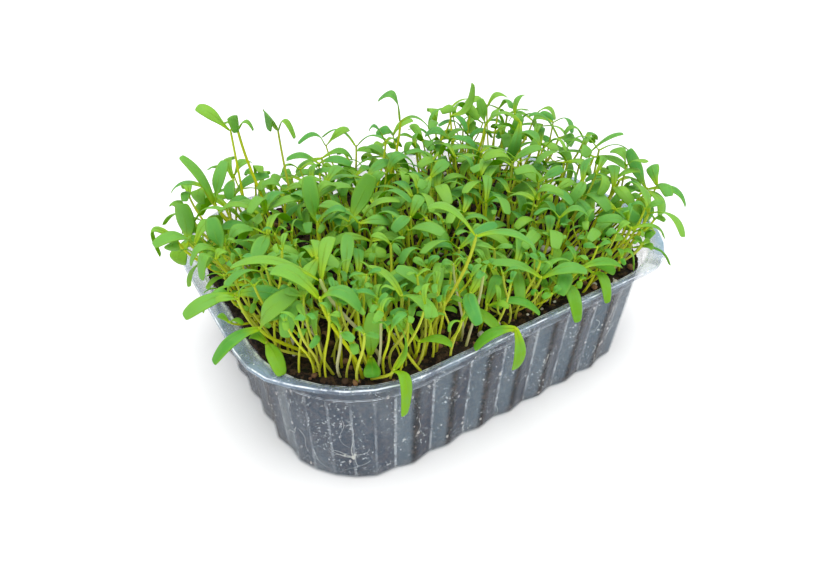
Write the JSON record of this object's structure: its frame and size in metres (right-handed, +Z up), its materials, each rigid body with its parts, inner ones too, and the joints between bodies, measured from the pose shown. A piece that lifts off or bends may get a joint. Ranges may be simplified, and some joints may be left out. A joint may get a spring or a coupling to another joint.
{
  "type": "potted yellow chard microgreens",
  "caption": "Shallow clear pleated tray of dark soil, densely sown with chard seedlings that each hold two seed leaves on a thin stem.",
  "frame": {"origin": "middle of the tray's flat underside", "axes": "+Z up, +X along the tray's long side; the picture looks from -X and -Y towards +X and +Y"},
  "size_m": [0.2097, 0.1686, 0.1042],
  "materials": {
    "tray_plastic": "gloss",
    "soil": "matte",
    "seedling": "satin"
  },
  "bodies": {
    "root": {"tray": "tray_plastic", "soil": "soil", "tuft_01": "seedling", "tuft_02": "seedling", "tuft_03": "seedling", "tuft_04": "seedling", "tuft_05": "seedling", "tuft_06": "seedling", "tuft_07": "seedling", "tuft_08": "seedling", "tuft_09": "seedling", "tuft_10": "seedling", "tuft_11": "seedling", "tuft_12": "seedling", "tuft_13": "seedling", "tuft_14": "seedling", "tuft_15": "seedling", "tuft_16": "seedling", "tuft_17": "seedling", "tuft_18": "seedling", "tuft_19": "seedling", "tuft_20": "seedling", "tuft_21": "seedling", "tuft_22": "seedling", "tuft_23": "seedling", "tuft_24": "seedling", "tuft_25": "seedling", "tuft_26": "seedling", "tuft_27": "seedling", "tuft_28": "seedling", "tuft_29": "seedling", "tuft_30": "seedling", "tuft_31": "seedling", "tuft_32": "seedling", "tuft_33": "seedling", "tuft_34": "seedling", "tuft_35": "seedling", "tuft_36": "seedling", "tuft_37": "seedling", "tuft_38": "seedling", "tuft_39": "seedling", "tuft_40": "seedling", "tuft_41": "seedling", "tuft_42": "seedling", "tuft_43": "seedling", "tuft_44": "seedling", "tuft_45": "seedling", "tuft_46": "seedling", "tuft_47": "seedling", "tuft_48": "seedling", "tuft_49": "seedling", "tuft_50": "seedling", "tuft_51": "seedling", "tuft_52": "seedling", "tuft_53": "seedling", "tuft_54": "seedling", "tuft_55": "seedling", "tuft_56": "seedling"}
  },
  "joints": []
}
